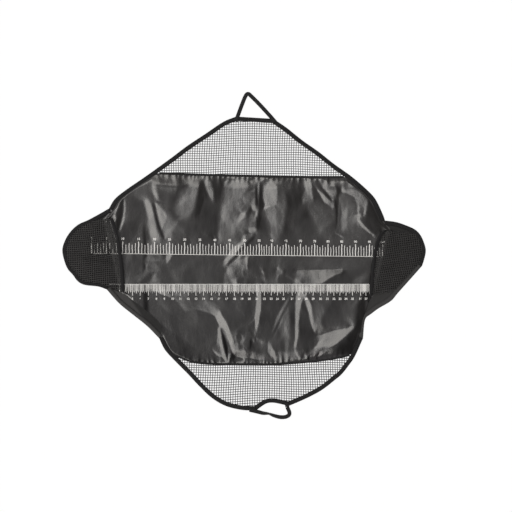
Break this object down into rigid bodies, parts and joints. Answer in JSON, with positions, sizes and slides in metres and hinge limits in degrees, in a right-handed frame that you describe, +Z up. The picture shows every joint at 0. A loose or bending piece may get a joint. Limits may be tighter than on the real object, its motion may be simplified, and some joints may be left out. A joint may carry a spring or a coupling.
{
  "type": "weigh sling",
  "caption": "Black fish weigh sling opened flat: coated cloth with printed rulers, net wings, net end pockets and webbing hanging loops.",
  "frame": {"origin": "middle of the opened sling's bounding box, on the surface that it lies on", "axes": "+X along the rulers from their zero end, +Y towards the upper hanging loop, +Z up from the face that the fish lies on"},
  "size_m": [1.2507, 1.1249, 0.0451],
  "materials": {
    "coated_cloth": "glossy",
    "net": "matte",
    "edge_tape": "matte",
    "backing_cloth": "satin"
  },
  "bodies": {
    "centre": {"panel_centre": "coated_cloth", "pocket_net_left": "net", "pocket_net_right": "net", "pocket_hem_left": "edge_tape", "pocket_hem_right": "edge_tape", "pocket_backing_left": "backing_cloth", "pocket_backing_right": "backing_cloth", "edge_tape_left": "edge_tape", "edge_tape_right": "edge_tape"},
    "upper_wing": {"panel_upper": "coated_cloth", "net_upper": "net", "seam_tape_upper": "edge_tape", "edge_tape_upper_left": "edge_tape", "edge_tape_upper_right": "edge_tape", "edge_tape_top": "edge_tape", "loop_top_foot_left": "edge_tape", "loop_top_foot_right": "edge_tape"},
    "lower_wing": {"panel_lower": "coated_cloth", "net_lower": "net", "seam_tape_lower": "edge_tape", "edge_tape_lower_left": "edge_tape", "edge_tape_lower_right": "edge_tape", "edge_tape_bottom": "edge_tape", "loop_bottom_foot_left": "edge_tape", "loop_bottom_foot_right": "edge_tape"},
    "top_loop": {"loop_top": "edge_tape"},
    "bottom_loop": {"loop_bottom": "edge_tape"}
  },
  "joints": [
    {"name": "upper_fold", "type": "hinge", "parent": "centre", "child": "upper_wing", "pos_m": [0, 0.19502, 0.0045], "axis": [1, 0, 0], "range_deg": [0, 125]},
    {"name": "lower_fold", "type": "hinge", "parent": "centre", "child": "lower_wing", "pos_m": [0, -0.28502, 0.0045], "axis": [-1, 0, 0], "range_deg": [0, 115]},
    {"name": "top_loop_swing", "type": "hinge", "parent": "upper_wing", "child": "top_loop", "pos_m": [-0.03757, 0.48263, 0.0072], "axis": [0.9981, -0.061, 0], "range_deg": [0, 150]},
    {"name": "bottom_loop_swing", "type": "hinge", "parent": "lower_wing", "child": "bottom_loop", "pos_m": [0.03757, -0.52875, 0.0072], "axis": [-0.9977, -0.0672, 0], "range_deg": [0, 150]}
  ]
}
